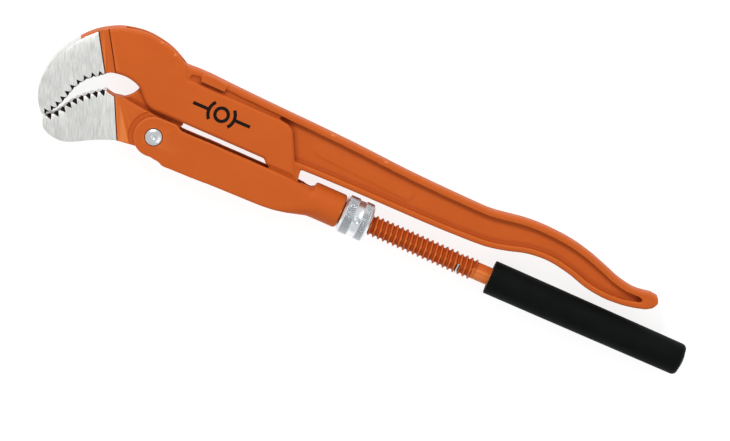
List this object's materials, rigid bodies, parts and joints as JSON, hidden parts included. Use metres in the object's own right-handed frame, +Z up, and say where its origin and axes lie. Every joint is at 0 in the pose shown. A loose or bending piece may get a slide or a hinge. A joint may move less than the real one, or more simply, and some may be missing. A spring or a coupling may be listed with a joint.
{
  "type": "pipe wrench",
  "caption": "Adjustable pipe wrench with S-shaped toothed jaws set at an angle, a long forged handle, a threaded lower leg with a knurled nut and a sleeve grip.",
  "frame": {"origin": "centre of the bounding box, on the plane that the wrench lies on, which its adjusting nut touches", "axes": "+X along the threaded rod from the jaws towards the grip, +Y from the lower leg towards the upper handle, +Z up, through the wrench's thickness"},
  "size_m": [0.3232, 0.0618, 0.0184],
  "materials": {
    "orange_coating": "satin powder coat over forged steel, with the faces round the teeth ground bare",
    "plated_steel": "bright zinc-plated steel",
    "black_sleeve": "smooth moulded PVC"
  },
  "bodies": {
    "upper_arm": {"upper_arm": "orange_coating", "rod_pivot_pin": "plated_steel"},
    "lower_leg": {"threaded_rod": "orange_coating", "grip_sleeve": "black_sleeve", "stop_ring": "plated_steel"},
    "yoke": {"yoke": "orange_coating", "jaw_rivet": "plated_steel"},
    "lower_jaw": {"lower_jaw": "orange_coating"},
    "adjusting_nut": {"adjusting_nut": "plated_steel"}
  },
  "joints": [
    {"name": "lower_leg_swing", "type": "hinge", "parent": "upper_arm", "child": "lower_leg", "pos_m": [-0.04245, -0.0093, 0.0092], "axis": [0, 0, 1], "range_deg": [-1.5, 0]},
    {"name": "yoke_slide", "type": "slide", "parent": "lower_leg", "child": "yoke", "axis": [1, 0, 0], "range_m": [0, 0.044]},
    {"name": "jaw_pivot", "type": "hinge", "parent": "yoke", "child": "lower_jaw", "pos_m": [-0.10345, -0.0117, 0.0092], "axis": [0, 0, 1], "range_deg": [0, 9]},
    {"name": "nut_spin", "type": "hinge", "parent": "yoke", "child": "adjusting_nut", "pos_m": [-0.0028, -0.0093, 0.0092], "axis": [1, 0, 0], "range_deg": [0, 6340]}
  ],
  "couplings": [
    {"joint": "nut_spin", "follows": "yoke_slide", "rad_per_m": 2513.3},
    {"joint": "jaw_pivot", "follows": "lower_leg_swing", "ratio": -6}
  ]
}
